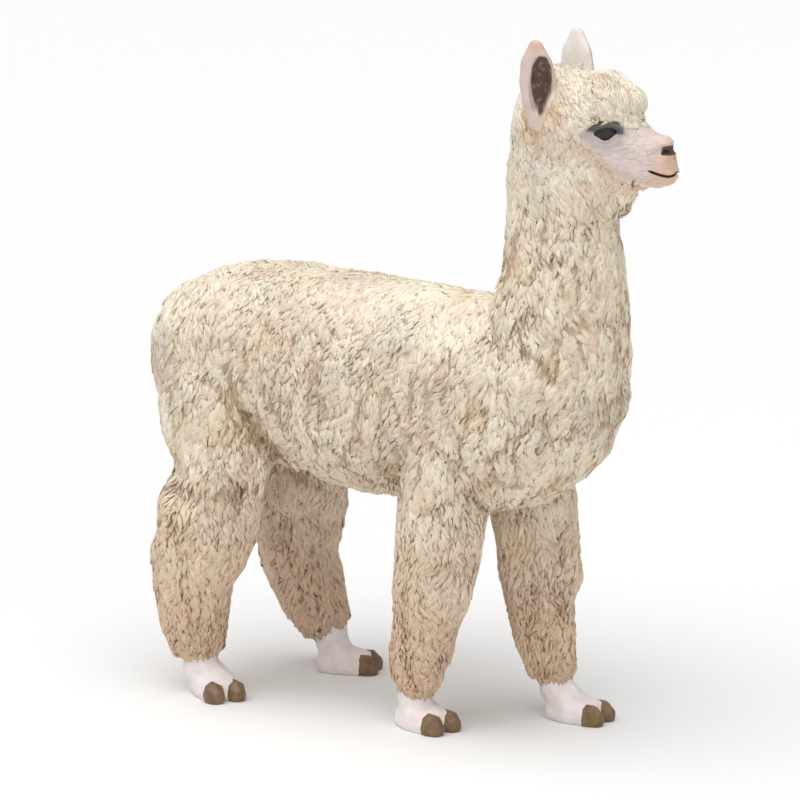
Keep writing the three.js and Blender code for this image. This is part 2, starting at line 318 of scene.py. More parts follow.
# The chest tucks in above the forelegs, the rump falls away steeply to the thighs and hocks, and the left
# legs and the right hind heel are not quite like their fellows.
x, y, z = points.T
chest = 0.4 * bump(z, 61, 7) - 1.8 * smoothstep(57, 46, z) * smoothstep(34, 40, z)
chest *= smoothstep(22, 33, x)
rump = 0.8 * bump(z, 62, 12) - bump(z, 40.5, 11) + bump(z, 28.5, 4.5)
rump *= smoothstep(-34, -42, x)
croup = bump(x, -40, 11) * smoothstep(56, 63, z)
heel = bump(z, 2.5, 4.5) * smoothstep(-31, -34, x) * (y < 0)
withers = 0.6 * bump(z, 74, 7) * smoothstep(6, 12, x) * smoothstep(24, 16, x)
left_knee = 0.7 * bump(z, 24.5, 8) * smoothstep(18, 26, x) * smoothstep(1, 4, y)
left_hock = bump(z, 27, 11) * smoothstep(-32, -24, x) * smoothstep(0, -8, x) * smoothstep(1, 4, y)
x = x + chest + rump - 0.9 * heel + withers + left_knee - left_hock
write_points(skin.data, np.column_stack((x, y, z - 0.45 * croup)))

# Under the wool the mesh is thinned, since the locks hide it; the bare skin keeps its fine mesh.
THINNED_TO = 0.1
skin.data.attributes.new("bare", "FLOAT", "POINT").data.foreach_set("value", bare)
wool_group = skin.vertex_groups.new(name="wool")
wool_group.add(np.flatnonzero(bare < 0.05).tolist(), 1, "REPLACE")
thin = skin.modifiers.new("thin", "DECIMATE")
thin.vertex_group = "wool"
thin.ratio = THINNED_TO
bpy.ops.object.modifier_apply(modifier="thin")


def read_bare():
    """How bare each point of the skin is: 0 under wool, 1 on the face, ears and feet."""
    return read(skin.data.attributes["bare"].data, "value", 1)[:, 0]


# ---- The ears ----
# Spear-shaped and bare, moulded upright in one with the head, with a hollow that faces outwards and lies
# nearer the front edge. Fusing rounds their tips, so each is drawn out to a point again.

EAR_FACING = np.radians(70)


def box_of(name):
    return [np.array(corner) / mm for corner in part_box(name)]


def ear_frame(name, mirror):
    """An ear's place in the head's frame, the ways it faces and is wide, and the height of its tip."""
    low_end, high_end = box_of(name)
    stalk = to_head(((low_end + high_end) / 2)[None])[0] * (1, 1, 0)
    faces_way = np.array((np.cos(EAR_FACING), mirror * np.sin(EAR_FACING), 0))
    wide_way = np.array((np.sin(EAR_FACING), -mirror * np.cos(EAR_FACING), 0))
    return stalk, faces_way, wide_way, high_end[2] - HEAD_ORIGIN[2]


# The left ear is the broader and taller one, and the right ear leans back more.
EAR_SHAPES = (("ear_left", 1, 1.14, 0.1, 0.2), ("ear_right", -1, 1.0, 0.75, 0.0))
points = read_points(skin.data)
for name, mirror, broad, swept, raised in EAR_SHAPES:
    stalk, faces_way, wide_way, tip_z = ear_frame(name, mirror)
    local = to_head(points) - stalk
    across, through, up = local @ wide_way, local @ faces_way, local[:, 2]
    ear = (up > 6.2) & (up < 20) & (abs(through) < 1.9) & (abs(across) < 3.8)
    below_tip = tip_z - up
    narrow = (broad - 0.76) * smoothstep(-1.0, 3.4, below_tip) - 0.24
    front_shift = 0.4 * smoothstep(3.0, 1.2, abs(across)) * smoothstep(-0.6, 0.2, through)
    front_shift = front_shift * smoothstep(6.2, 9.0, up) - swept * smoothstep(8.0, 0.0, below_tip)
    local += wide_way * (narrow * across + front_shift)[:, None]
    local[:, 2] += raised * smoothstep(1.2, 0.0, below_tip)
    points = np.where(ear[:, None], from_head(local + stalk), points)
write_points(skin.data, points)

# ---- The face, carved into the skin ----
# The bare face is finer than the rest: a lidded eye socket under the brow, a split upper lip over the mouth,
# and nostrils pressed in at the end of the nose. Both sides are carved alike, in the head's own frame.

EYE_AT = np.array((7.6, 5.6, 0.22))
EYE_TURN = np.radians(35)
EYE_ALONG = np.array((np.cos(EYE_TURN), -np.sin(EYE_TURN), 0))
EYE_OUT = np.array((np.sin(EYE_TURN), np.cos(EYE_TURN), 0))
UPPER_EDGE = [(-1.75, -0.1), (-1.0, 0.42), (-0.15, 0.68), (0.7, 0.7), (1.35, 0.5), (1.7, 0.2)]
LOWER_EDGE = [(1.05, -0.5), (0.3, -1.0), (-0.35, -1.03), (-0.95, -0.68)]


def rounded(outline, steps=6):
    """A closed outline with its corners eased into one smooth curve."""
    p0, p1, p2, p3 = (np.roll(outline, shift, axis=0)[:, None, :] for shift in (1, 0, -1, -2))
    t = (np.arange(steps) / steps)[None, :, None]
    squared, cubed = 2 * p0 - 5 * p1 + 4 * p2 - p3, 3 * p1 - p0 - 3 * p2 + p3
    curve = 2 * p1 + (p2 - p0) * t + squared * t**2 + cubed * t**3
    return curve.reshape(-1, 2) / 2


EYE_OPENING = rounded(np.array(UPPER_EDGE + LOWER_EDGE))


def refine(mesh, low_corner, high_corner, skip_wool):
    """Splits the faces inside a box of the head's frame in four, on both sides of the head."""
    shape = bmesh.new()
    shape.from_mesh(mesh)
    shape.verts.ensure_lookup_table()
    co = to_head(np.array([v.co for v in shape.verts]) / mm)
    co[:, 1] = abs(co[:, 1])
    chosen = np.all((co > low_corner) & (co < high_corner), axis=1)
    if skip_wool:
        chosen &= depth_inside(FACE_EDGE, co[:, 0], co[:, 2]) > -0.4
    lines = [e for e in shape.edges if chosen[e.verts[0].index] and chosen[e.verts[1].index]]
    bmesh.ops.subdivide_edges(shape, edges=lines, cuts=1, use_grid_fill=True, smooth=0.4)
    loose = [f for f in shape.faces if len(f.verts) > 4]
    bmesh.ops.triangulate(shape, faces=loose)
    shape.to_mesh(mesh)
    shape.free()


refine(skin.data, (2.4, -0.1, -9.5), (30, 9.5, 3.0), True)
refine(skin.data, (4.8, 3.0, -2.2), (10.4, 8.5, 2.6), False)
refine(skin.data, (13.0, -0.1, -7.4), (30, 5, -1.2), False)


def distance_to_path(points, path):
    """Distance from each point to an open path, and how far along the path that is, from 0 to 1."""
    nearest = np.full(len(points), 1e9)
    place = np.zeros(len(points))
    lengths = np.linalg.norm(np.diff(path, axis=0), axis=1)
    before = np.concatenate(([0], np.cumsum(lengths)))
    for index in range(len(path) - 1):
        leg = path[index + 1] - path[index]
        along = np.clip(((points - path[index]) @ leg) / (leg @ leg), 0, 1)
        gap = np.linalg.norm(points - path[index] - along[:, None] * leg, axis=1)
        closer = gap < nearest
        nearest = np.where(closer, gap, nearest)
        place = np.where(closer, (before[index] + along * lengths[index]) / before[-1], place)
    return nearest, place


def mirrored(flat, side):
    """Points of both sides laid over one side, or laid back again."""
    return flat * np.column_stack((np.ones(len(side)), side, np.ones(len(side))))


points = read_points(skin.data)
edges = read_edges(skin.data)
head_points = to_head(points)
side = np.where(head_points[:, 1] < 0, -1.0, 1.0)
near_head = points[:, 2] > 82
x, y, z = mirrored(head_points, side).T
depth = np.where(near_head, depth_inside(FACE_EDGE, x, z), FAR_FROM_FACE)

# The orbit: the skin round the eye is laid back from the brow and cheek wool onto one even slope.
slope_y = np.interp(x, (2.5, 4.3, 5.9, 7.6, 9.2, 11.0), (7.3, 7.0, 6.5, 5.6, 4.5, 3.9))
slope_y += np.interp(z, (-5, -2.5, 0.3, 1.6, 2.6), (-0.2, 0.0, 0.0, -0.3, -0.7))
laid = smoothstep(0.0, 0.8, depth) * smoothstep(10.4, 9.0, x) * smoothstep(-5.5, -3.5, z) * (y > 2)
y = np.where(near_head, y + (slope_y - y) * laid, y)

# The muzzle: drawn to the toy's own profile from the chin to the bridge, and rounded in front like an egg.
PROFILE_Z = (-8.8, -8.4, -7.4, -6.2, -4.8, -3.4, -2.1, -1.2, -0.4, 0.4, 1.4)
PROFILE_X = (13.8, 15.9, 17.0, 17.3, 16.9, 16.4, 16.7, 17.0, 16.2, 14.6, 12.3)
MUZZLE_ROOT = 10
levels = np.arange(-8.8, 1.8, 0.4)
middle_line = near_head & (y < 1) & (x > 8)
reached = np.array([x[middle_line & (abs(z - level) < 0.6)].max() for level in levels])
stretch = (np.interp(z, PROFILE_Z, PROFILE_X) - MUZZLE_ROOT) / (np.interp(z, levels, reached) - MUZZLE_ROOT)
stretch = 1 + (np.clip(stretch, 0.9, 1.3) - 1) * smoothstep(-9.2, -8.4, z) * smoothstep(1.8, 0.8, z)
ahead = near_head & (x > MUZZLE_ROOT) & (depth > -1)
x = np.where(ahead, MUZZLE_ROOT + (x - MUZZLE_ROOT) * stretch, x)
z = np.where(ahead, z - 0.6 * bump(x, 12.8, 3.0) * smoothstep(-3.5, -0.5, z), z)
z = np.where(ahead, z - 0.28 * smoothstep(-6.9, -8.2, z) * smoothstep(11, 14, x), z)
z = np.where(ahead, z - 0.09 * y**2 * smoothstep(-3.5, -0.5, z) * smoothstep(10.5, 13.0, x), z)
x = np.where(ahead, x - 0.95 * (y / 3) ** 2 * smoothstep(12.5, 16.5, x), x)

# The brow: the fringe stands out over the face, below a crown that rounds back and a full nape.
fringe = bump(z, 2.4, 2.4) * smoothstep(5.0, 9.5, x) * smoothstep(7.5, 5.5, y) * (depth < 0.2) * near_head
crown = bump(z, 7.0, 2.8) * smoothstep(3.5, 8.5, x) * near_head
nape = bump(z, 2.8, 4.0) * smoothstep(-4.5, -8.5, x) * near_head
x = x + 0.75 * fringe - 1.4 * crown + 1.1 * nape
z = z - 0.4 * smoothstep(7, 9, z) * smoothstep(1, 6, x) * near_head
flat = np.column_stack((x, y, z))
moving = (near_head & (depth > -0.6))[:, None]
for turn in range(18):
    flat = np.where(moving, flat + 0.5 * (neighbour_mean(flat, edges) - flat), flat)
write_points(skin.data, from_head(mirrored(flat, side)))
surface = BVHTree.FromObject(skin, bpy.context.evaluated_depsgraph_get())


def laid_on_skin(path, steps=6):
    """The path with more points, each moved to the nearest point of the skin."""
    path = np.array(path)
    spots = np.linspace(0, len(path) - 1, (len(path) - 1) * steps + 1)
    dense = np.column_stack([np.interp(spots, np.arange(len(path)), path[:, axis]) for axis in range(3)])
    touched = [surface.find_nearest(Vector(spot * mm))[0] for spot in from_head(dense)]
    return to_head(np.array(touched) / mm)


def round_eye(flat, near):
    """Which points are near the eye, how far outside its opening they lie, and how high across it."""
    from_eye = flat - EYE_AT
    along, across = from_eye @ EYE_ALONG, from_eye[:, 2]
    near_eye = near & (abs(from_eye @ EYE_OUT) < 3) & (np.hypot(along, across) < 5)
    opening = np.where(near_eye, -depth_inside(EYE_OPENING, along, across), 9.0)
    return near_eye, opening, across + 0.1 * along


# Eye socket and lids: the skin sinks inside the opening and rolls over its edge, with a broad fold above.
near_eye, opening, height = round_eye(flat, near_head)
upper = smoothstep(-0.35, 0.3, height)
lid_roll = 0.42 * bump(opening, 0.42, 0.56) * upper
lid_fold = -0.26 * bump(opening, 1.08, 0.26) * upper + 0.14 * bump(opening, 1.5, 0.4) * upper
lower_lid = (0.2 * bump(opening, 0.2, 0.3) - 0.1 * bump(opening, 0.62, 0.3)) * (1 - upper)
sunk = -1.2 * smoothstep(0.06, -0.3, opening)
rise = np.where(near_eye, lid_roll + lid_fold + lower_lid + sunk, 0.0)
flat = flat + EYE_OUT * rise[:, None]

# Tear line: a shallow crease from the front corner of the eye towards the nose.
tear, place = distance_to_path(flat, laid_on_skin([(9.5, 4.3, 0.3), (10.4, 4.0, -0.5), (11.4, 3.9, -1.2)]))
flat -= EYE_OUT * (0.16 * bump(tear, 0, 0.5) * (1 - place) * near_head)[:, None]

# Nose: a small nostril is pressed in on each side.
nostril = laid_on_skin([(15.6, 2.0, -2.75), (15.95, 1.6, -2.5), (16.2, 1.1, -2.6)])
nostril_gap = distance_to_path(flat, nostril)[0]
pressed = 0.28 * smoothstep(0.36, 0.05, nostril_gap) * near_head
flat += np.array((-0.85, -0.5, 0.1)) * pressed[:, None]

# Mouth: a groove that curves up at its corner and meets the split lip in front.
MOUTH_CORNER = [(13.8, 3.6, -5.45), (14.8, 3.3, -5.85), (15.7, 2.7, -6.15)]
MOUTH_FRONT = [(16.4, 1.8, -6.35), (16.9, 0.9, -6.2), (17.1, 0, -5.85)]
mouth_line = laid_on_skin(MOUTH_CORNER + MOUTH_FRONT)
mouth_gap, mouth_place = distance_to_path(flat, mouth_line)
lip_out = flat - np.array((13.5, 0, -5.6))
lip_out /= np.maximum(np.linalg.norm(lip_out, axis=1), 1e-6)[:, None]
above = flat[:, 2] > np.interp(flat[:, 0], mouth_line[:, 0], mouth_line[:, 2])
groove = -0.4 * smoothstep(0.26, 0.04, mouth_gap) * smoothstep(0.0, 0.08, mouth_place)
lips = np.where(above, 0.12, 0.08) * bump(mouth_gap, 0.55, 0.5)
lips *= smoothstep(0.1, 0.5, mouth_place) * smoothstep(1.0, 0.75, mouth_place)
flat += lip_out * ((groove + lips) * near_head)[:, None]

# The split of the upper lip, from the nose pad down to the mouth.
split = bump(flat[:, 1], 0, 0.35) * smoothstep(-5.9, -5.2, flat[:, 2]) * smoothstep(-2.9, -3.4, flat[:, 2])
flat[:, 0] -= 0.16 * split * (flat[:, 0] > 14) * near_head

# Soft muscle under the face: a hollow before the cheek, a bag under the eye and a fold behind the lips.
cheek = bump(np.linalg.norm(flat - np.array((11.6, 4.0, -3.9)), axis=1), 0, 2.2)
flat[:, 1] -= 0.28 * cheek * near_head
bag = 0.1 * bump(opening, 0.95, 0.45) - 0.08 * bump(opening, 1.5, 0.4)
flat += EYE_OUT * (bag * ((1 - upper) * near_eye))[:, None]
lip_fold = laid_on_skin([(13.4, 3.6, -1.0), (12.7, 4.0, -2.6), (12.4, 4.2, -4.4), (12.9, 4.0, -6.0)])
fold_gap, place = distance_to_path(flat, lip_fold)
flat[:, 1] -= 0.16 * bump(fold_gap, 0, 0.6) * bump(place, 0.5, 0.6) * near_head


def grain(spots):
    """Random relief at each spot, about zero."""
    return np.array([noise.noise(Vector(spot)) for spot in spots.tolist()])


# A short nap and fine wrinkles run back along the face, worked into the clay with a needle.
napped = np.flatnonzero(near_head & (depth_inside(FACE_EDGE, flat[:, 0], flat[:, 2]) > -0.3))
spots = flat[napped]
fine = grain(spots * (1.1, 2.4, 2.6))
wrinkle = grain(spots * (0.45, 0.9, 1.1) + 7)
calm = smoothstep(0.5, 1.2, opening[napped]) * smoothstep(0.2, 0.8, mouth_gap[napped])
calm *= 1 - 0.7 * smoothstep(13.5, 15.5, spots[:, 0])
needled = 0.11 * fine - 0.15 * smoothstep(0.14, 0.0, abs(wrinkle))
flat[napped, 1] += needled * calm * smoothstep(0.3, 2.0, spots[:, 1])
flat[napped, 2] += needled * calm * smoothstep(2.0, 0.3, spots[:, 1])
write_points(skin.data, np.where(near_head[:, None], from_head(mirrored(flat, side)), points))

# ---- The eyes ----
# Each is a ball in one with the head, painted a flat near-black under a thin varnish. Only its lower front
# shows between the lids.

EYE_DEEP = 1.35
EYE_RADII = (2.4, 1.55, 1.7)


def paint(red, green, blue):
    """A paint colour given as it looks on a colour card, from 0 to 255."""
    card = np.array((red, green, blue)) / 255
    linear = np.where(card < 0.04045, card / 12.92, ((card + 0.055) / 1.055) ** 2.4)
    return (*linear, 1.0)


eye_paint, inside, wire, shader = new_paint("eye_paint", 0.35, 0.35)
shader.inputs["Base Color"].default_value = paint(42, 40, 38)
eye_axes = np.array((EYE_ALONG, EYE_OUT, (0, 0, 1)))
for name, mirror in (("eye_left", 1), ("eye_right", -1)):
    bpy.ops.object.select_all(action="DESELECT")
    bpy.ops.mesh.primitive_uv_sphere_add(segments=64, ring_count=40, radius=1)
    ball = bpy.context.object
    ball.name = f"eyeball_{name[4:]}"
    bpy.ops.object.shade_smooth()
    shape = read(ball.data.vertices, "co", 3) * EYE_RADII @ eye_axes + EYE_AT - EYE_OUT * EYE_DEEP
    shape[:, 1] *= mirror
    write_points(ball.data, from_head(shape))
    if mirror < 0:
        ball.data.flip_normals()
    ball.data.materials.append(eye_paint)
    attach(ball, "root")
    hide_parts(name)

# ---- The nails ----
# Two blunt nails end each foot, moulded in one with it and painted by hand in a mottled brown. They stand
# just proud of the toes.

NAIL_PROUD = 0.16 * mm
NAIL_VOXEL = 0.13 * mm


def node(kind, **numbers):
    """A new node of the paint being mixed, with numbers set on its inputs."""
    made = inside.new(kind)
    for label, number in numbers.items():
        made.inputs[label.replace("_", " ")].default_value = number
    return made


def blotches(scale, detail, low_edge, high_edge):
    """Soft cloudy patches of one size, from 0 to 1."""
    cloud = node("ShaderNodeTexNoise", Scale=scale, Detail=detail)
    wire(place.outputs["Object"], cloud.inputs["Vector"])
    edge = node("ShaderNodeMapRange", From_Min=low_edge, From_Max=high_edge)
    wire(cloud.outputs["Fac"], edge.inputs["Value"])
    return edge.outputs["Result"]


def blended(factor, first, second, way="MIX"):
    """Mixes two colours, each a socket or a fixed colour."""
    mix = inside.new("ShaderNodeMix")
    mix.data_type = "RGBA"
    mix.blend_type = way
    colour_sockets = [socket for socket in mix.inputs if socket.type == "RGBA"]
    for socket, value in zip((mix.inputs["Factor"], *colour_sockets), (factor, first, second)):
        if isinstance(value, (int, float, tuple)):
            socket.default_value = value
        else:
            wire(value, socket)
    return next(socket for socket in mix.outputs if socket.type == "RGBA")


nail_paint, inside, wire, shader = new_paint("nail_paint", 0.5)
place = inside.new("ShaderNodeTexCoord")
worn = blended(blotches(700, 3, 0.35, 0.7), paint(112, 86, 58), paint(136, 110, 78))
wire(worn, shader.inputs["Base Color"])
for name in NAILS:
    shape = solid_copy(name)
    grown = [v.co + v.normal * NAIL_PROUD for v in shape.verts]
    for v, co in zip(shape.verts, grown):
        v.co = co
    nail = fused(shape, f"{name}_cap", NAIL_VOXEL)
    bpy.ops.object.shade_smooth()
    nail_points = relaxed(read_points(nail.data), read_edges(nail.data), 60)
    nail_points[:, 2] = np.maximum(nail_points[:, 2], 0.0)
    write_points(nail.data, nail_points)
    nail.data.materials.append(nail_paint)
    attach(nail, "root")
    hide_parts(name)

# ---- The fleece ----
# Modelled in the clay as thousands of small flame-shaped locks, each a closed solid rooted in the skin and
# lapping over the next. They run down and back over the body, down the neck and legs, and out from the crown.
# A brown wash lies in the crevices and dry-brushed cream catches the crests, turning tan down the legs. Locks
# that face up are painted lighter, as light from overhead, and the hind legs' folds darker, as painted shade.

# The skin is unwrapped once, before its clumps are raised, and gives each lock its place on that unwrap.
SEAM_ANGLE = 1.15
ISLAND_GAP = 0.002
select_only(skin)
while skin.data.uv_layers:
    skin.data.uv_layers.remove(skin.data.uv_layers[0])
skin.data.uv_layers.active = skin.data.uv_layers.new(name="OFBake")
bpy.ops.object.mode_set(mode="EDIT")
bpy.ops.mesh.select_all(action="SELECT")
bpy.ops.uv.smart_project(angle_limit=SEAM_ANGLE, island_margin=ISLAND_GAP)
bpy.ops.object.mode_set(mode="OBJECT")


def waves(spots, length, seed):
    """A smooth random value about zero, made of waves of roughly one length."""
    draw = np.random.default_rng(seed)
    total = np.zeros(len(spots))
    for turn in range(7):
        way = draw.normal(size=3)
        way /= np.linalg.norm(way)
        total += np.sin(spots @ way * (2 * np.pi / length) * draw.uniform(0.7, 1.3) + draw.uniform(0, 7))
    return total / 2.2


FLANK = np.array([(-27.6, 61.7), (-24.3, 54.6), (-21.1, 45.2), (-17.5, 38.6)])
HOCK = np.array([(-43, 34.0), (-36, 34.8), (-28, 35.2), (-18, 35.8)])


def folds(spots):
    """The two folds of each hind leg, where the barrel laps over the thigh and the thigh over the hock."""
    outer = smoothstep(2, 5, abs(spots[:, 1]))
    from_flank, place = distance_to_path(spots[:, (0, 2)], FLANK)
    flank = smoothstep(1.8, 0.3, from_flank) * smoothstep(0.0, 0.4, place)
    hock = smoothstep(1.3, 0.4, distance_to_path(spots[:, (0, 2)], HOCK)[0])
    return np.maximum(flank, hock) * outer


def creases(spots):
    """The long creases that part the fleece into clumps: 1 in a crease, 0 on a clump."""
    x, y, z = spots.T
    wander = 1.1 * waves(spots, 12, 31)
    height = grain(np.column_stack(((x + wander) / 3.2, (y + wander) / 3.2, z / 13)))
    return np.maximum(smoothstep(0.26, 0.03, abs(height)), folds(spots))


CLUMP_HEIGHT = 0.85
FOLD_DEPTH = 1.15
BEARD = 0.9
bare = read_bare()
points = read_points(skin.data)
clump = CLUMP_HEIGHT * (1 - creases(points)) * (1 - bare) - FOLD_DEPTH * folds(points)
head = to_head(points)
beard = bump(head[:, 2], -11.6, 2.3) * smoothstep(4.0, 7.0, head[:, 0])
beard *= smoothstep(5.0, 2.5, abs(head[:, 1]))
clump += BEARD * beard
write_points(skin.data, points + read_normals(skin.data) * clump[:, None])
skin.data.calc_loop_triangles()
points = read_points(skin.data)
tris = read(skin.data.loop_triangles, "vertices", 3, np.int64)
tri_loops = read(skin.data.loop_triangles, "loops", 3, np.int64)
skin_tree = BVHTree.FromPolygons((points * mm).tolist(), tris.tolist(), all_triangles=True)
vertex_normals = read_normals(skin.data)
loop_uv = read(skin.data.uv_layers["OFBake"].data, "uv", 2)


def of_length_one(ways):
    """The directions, each of length one."""
    return ways / np.maximum(np.linalg.norm(ways, axis=-1), 1e-6)[..., None]


def from_head_way(way):
    """A direction in the head's frame as one in the toy's."""
    return from_head(way) - from_head(np.zeros((1, 3)))


def lie_of_coat(spots, facing):
    """Which way the locks lie, as a unit vector along the skin."""
    head = to_head(spots)
    x, y, z = spots.T
    on_top = smoothstep(0.0, 0.7, facing[:, 2])
    outward = 0.9 * np.sign(y) * smoothstep(0, 6, abs(y)) * on_top
    way = np.column_stack((0.25 * on_top - 0.34, outward, np.full(len(spots), -0.85)))
    on_leg = smoothstep(46, 34, z)[:, None]
    way += on_leg * (np.array((-0.1, 0, -1.0)) - way)
    on_neck = (smoothstep(64, 74, z + 0.5 * (x - 22)) * (x > 5))[:, None]
    way += on_neck * (np.array((0.05, 0, -1.0)) - way)
    on_head = smoothstep(-12, -7, head[:, 2])[:, None] * (x > 10)[:, None]
    crown = head - np.array((-3.5, 0, 11.5))
    crown /= np.linalg.norm(crown, axis=1)[:, None]
    fringe = from_head_way(0.7 * crown + (0.25, 0, -0.8))
    cheek = from_head_way(np.array([[-0.15, 0, -0.95]]))
    below = smoothstep(1.5, -2.5, head[:, 2])[:, None]
    way += on_head * (fringe * (1 - below) + cheek * below - way)
    way = of_length_one(way - facing * (way * facing).sum(axis=1)[:, None])
    turn = np.radians(8) * waves(spots, 12, 3) + np.radians(9) * waves(spots, 4.5, 4)
    return way * np.cos(turn)[:, None] + np.cross(facing, way) * np.sin(turn)[:, None]


def smaller_at(spots):
    """Size of the locks: full on the body, smaller down the legs and smallest on the head."""
    size = 1.0 - 0.22 * smoothstep(22, 8, spots[:, 2])
    on_head = smoothstep(-10, -4, to_head(spots)[:, 2]) * (spots[:, 0] > 10)
    return size * (1 - 0.36 * on_head)


# The roots are drawn at random over the wool, and one is kept only if no other is close by. Neighbours may be
# nearer across the lie of the coat than along it.
LOCK_SPACING = 0.44
ROW_STRETCH = 1.5
DRAWN_PER_SQUARE_MM = 15
rng = np.random.default_rng(7)
a, b, c = points[tris].transpose(1, 0, 2)
area = np.linalg.norm(np.cross(b - a, c - a), axis=1) / 2 * (bare[tris].mean(axis=1) < 0.4)
count = int(area.sum() * DRAWN_PER_SQUARE_MM)
drawn = rng.choice(len(tris), count, p=area / area.sum())
u, v = rng.random(count), rng.random(count)
over = u + v > 1
u, v = np.where(over, 1 - u, u), np.where(over, 1 - v, v)
weights = np.column_stack((1 - u - v, u, v))
spots = (points[tris][drawn] * weights[:, :, None]).sum(axis=1)
facing = (vertex_normals[tris[drawn]] * weights[:, :, None]).sum(axis=1)
facing /= np.linalg.norm(facing, axis=1)[:, None]
spacing = LOCK_SPACING * smaller_at(spots)
cells = np.floor(spots / (spacing.max() * ROW_STRETCH)).astype(int)
squash = 1 - 1 / ROW_STRETCH**2
roots_in = {}


def has_room(cell, spot, way, gap):
    """Whether no root kept so far is closer than the gap, measured shorter along the lie."""
    px, py, pz = spot
    fx, fy, fz = way
    for near in product(*((step - 1, step, step + 1) for step in cell)):
        for qx, qy, qz in roots_in.get(near, ()):
            ex, ey, ez = px - qx, py - qy, pz - qz
            along = ex * fx + ey * fy + ez * fz
            if ex * ex + ey * ey + ez * ez - along * along * squash < gap:
                return False
    return True


kept = []
lie = lie_of_coat(spots, facing)
for index, draw in enumerate(zip(cells.tolist(), spots.tolist(), lie.tolist(), (spacing**2).tolist())):
    if has_room(*draw):
        roots_in.setdefault(tuple(draw[0]), []).append(draw[1])
        kept.append(index)
roots, root_normals, root_tris, root_weights = spots[kept], facing[kept], drawn[kept], weights[kept]

LOCK_LENGTH = 2.3
LOCK_WIDTH = 0.94
LOCK_LIFT = 0.24
RINGS = 5
SECTION = np.array([(-1.0, -0.45), (-0.5, 0.6), (0.5, 0.6), (1.0, -0.45)])
number = len(roots)
size = smaller_at(roots) * np.clip(np.exp(0.22 * rng.normal(size=number)), 0.6, 1.6)
size = size * (1 + 0.13 * waves(roots, 15, 33))
length = LOCK_LENGTH * size * rng.uniform(0.85, 1.2, number)
width = LOCK_WIDTH * size * rng.uniform(0.85, 1.15, number) / 2
lift = LOCK_LIFT * size * rng.uniform(0.6, 1.3, number) * (1 + 0.25 * waves(roots, 11, 8))
on_head = smoothstep(84, 90, roots[:, 2])
width *= 1 + 0.15 * on_head
lift *= 1 - 0.35 * on_head
flow = lie_of_coat(roots, root_normals)
skew = np.radians(10) * rng.normal(size=number)
flow = flow * np.cos(skew)[:, None] + np.cross(root_normals, flow) * np.sin(skew)[:, None]
curl = np.clip(0.28 * waves(roots, 7, 5) + 0.28 * rng.normal(size=number), -0.8, 0.8) * size
wave = 0.19 * size * rng.uniform(0.4, 1.4, number) * np.where(rng.random(number) < 0.5, -1, 1)


def march(here, facing, way, length):
    """Places, normals, directions and bareness at even steps along the skin from each root."""
    steps = [(here, facing, way, np.zeros(len(here)))]
    stride = (length / (RINGS - 1))[:, None]
    for ring in range(1, RINGS):
        nearest = [skin_tree.find_nearest(spot) for spot in ((here + way * stride) * mm).tolist()]
        here = np.array([found[0] for found in nearest]) / mm
        hit = tris[[found[2] for found in nearest]]
        facing = vertex_normals[hit].mean(axis=1)
        facing /= np.linalg.norm(facing, axis=1)[:, None]
        way = of_length_one(way - facing * (way * facing).sum(axis=1)[:, None])
        steps.append((here, facing, way, bare[hit].mean(axis=1)))
    return [np.array(column) for column in zip(*steps)]


# A lock that would run out over the bare face, an ear or a foot, or round a sharp bend, is cut short. By the
# lids it ends at the last ring over wool, and elsewhere it may hang over a little.
SHORTEST_LOCK = 0.45
SHORTEST_AT_LIDS = 0.2
places, facings, ways, bareness = march(roots, root_normals, flow, length)
covered = bareness < 0.75
head_roots = to_head(roots)
face_roots = np.column_stack((head_roots[:, 0], abs(head_roots[:, 1]), head_roots[:, 2]))
off_lids = smoothstep(2.5, 4.5, np.linalg.norm(face_roots - EYE_AT, axis=1))
last_ring = np.argmin(covered, axis=0) - 1 + off_lids
reach = np.where(covered.all(axis=0), 1.0, last_ring / (RINGS - 1))
stride = np.linalg.norm(np.diff(places, axis=0), axis=2).max(axis=0)
bend = (facings[1:] * facings[:-1]).sum(axis=2).min(axis=0)
reach = np.where((stride > 2 * length / (RINGS - 1)) | (bend < 0.5), 0.1, reach)
short = reach < 1
overhang = 0.1 + 0.2 * (off_lids * smoothstep(-9, -5, head_roots[:, 2]))
overhang = np.where(roots[:, 2] < 16, 0.18, overhang)
shortest = SHORTEST_AT_LIDS + (SHORTEST_LOCK - SHORTEST_AT_LIDS) * off_lids
length = length * np.clip(reach + overhang, shortest, 1)
again = march(roots[short], root_normals[short], flow[short], length[short])
places[:, short], facings[:, short], ways[:, short], bareness[:, short] = again

# Each lock is a run of flat-bottomed rings that swells, narrows to a point and lifts off the skin as it goes.
t = np.linspace(0, 1, RINGS)[:, None]
half_width = width * np.sin(np.pi * np.clip(0.13 + 0.87 * t, 0, 1) ** 0.85) ** 0.75
thick = half_width * 0.65
rise = lift * (1.5 * t - 0.28 - 0.35 * t**3) + 0.05
rise *= 1 - 0.85 * np.clip(bareness / 0.6, 0, 1)
offset = curl * t**2 + wave * np.sin(2 * np.pi * t)
spine = places + np.cross(facings, ways) * offset[:, :, None] + facings * rise[:, :, None]
ahead = of_length_one(np.gradient(spine, axis=0))
across_way = of_length_one(np.cross(facings, ahead))
up_way = np.cross(ahead, across_way)

SIDES = len(SECTION)
body_rings = RINGS - 1
body = slice(0, body_rings)
verts = (
    spine[body, :, None, :]
    + across_way[body, :, None, :] * (half_width[body, :, None] * SECTION[:, 0])[..., None]
    + up_way[body, :, None, :] * (thick[body, :, None] * SECTION[:, 1])[..., None]
)
verts = verts.transpose(1, 0, 2, 3).reshape(number, body_rings * SIDES, 3)
verts = np.concatenate((verts, spine[-1][:, None, :]), axis=1)
per_lock = body_rings * SIDES + 1

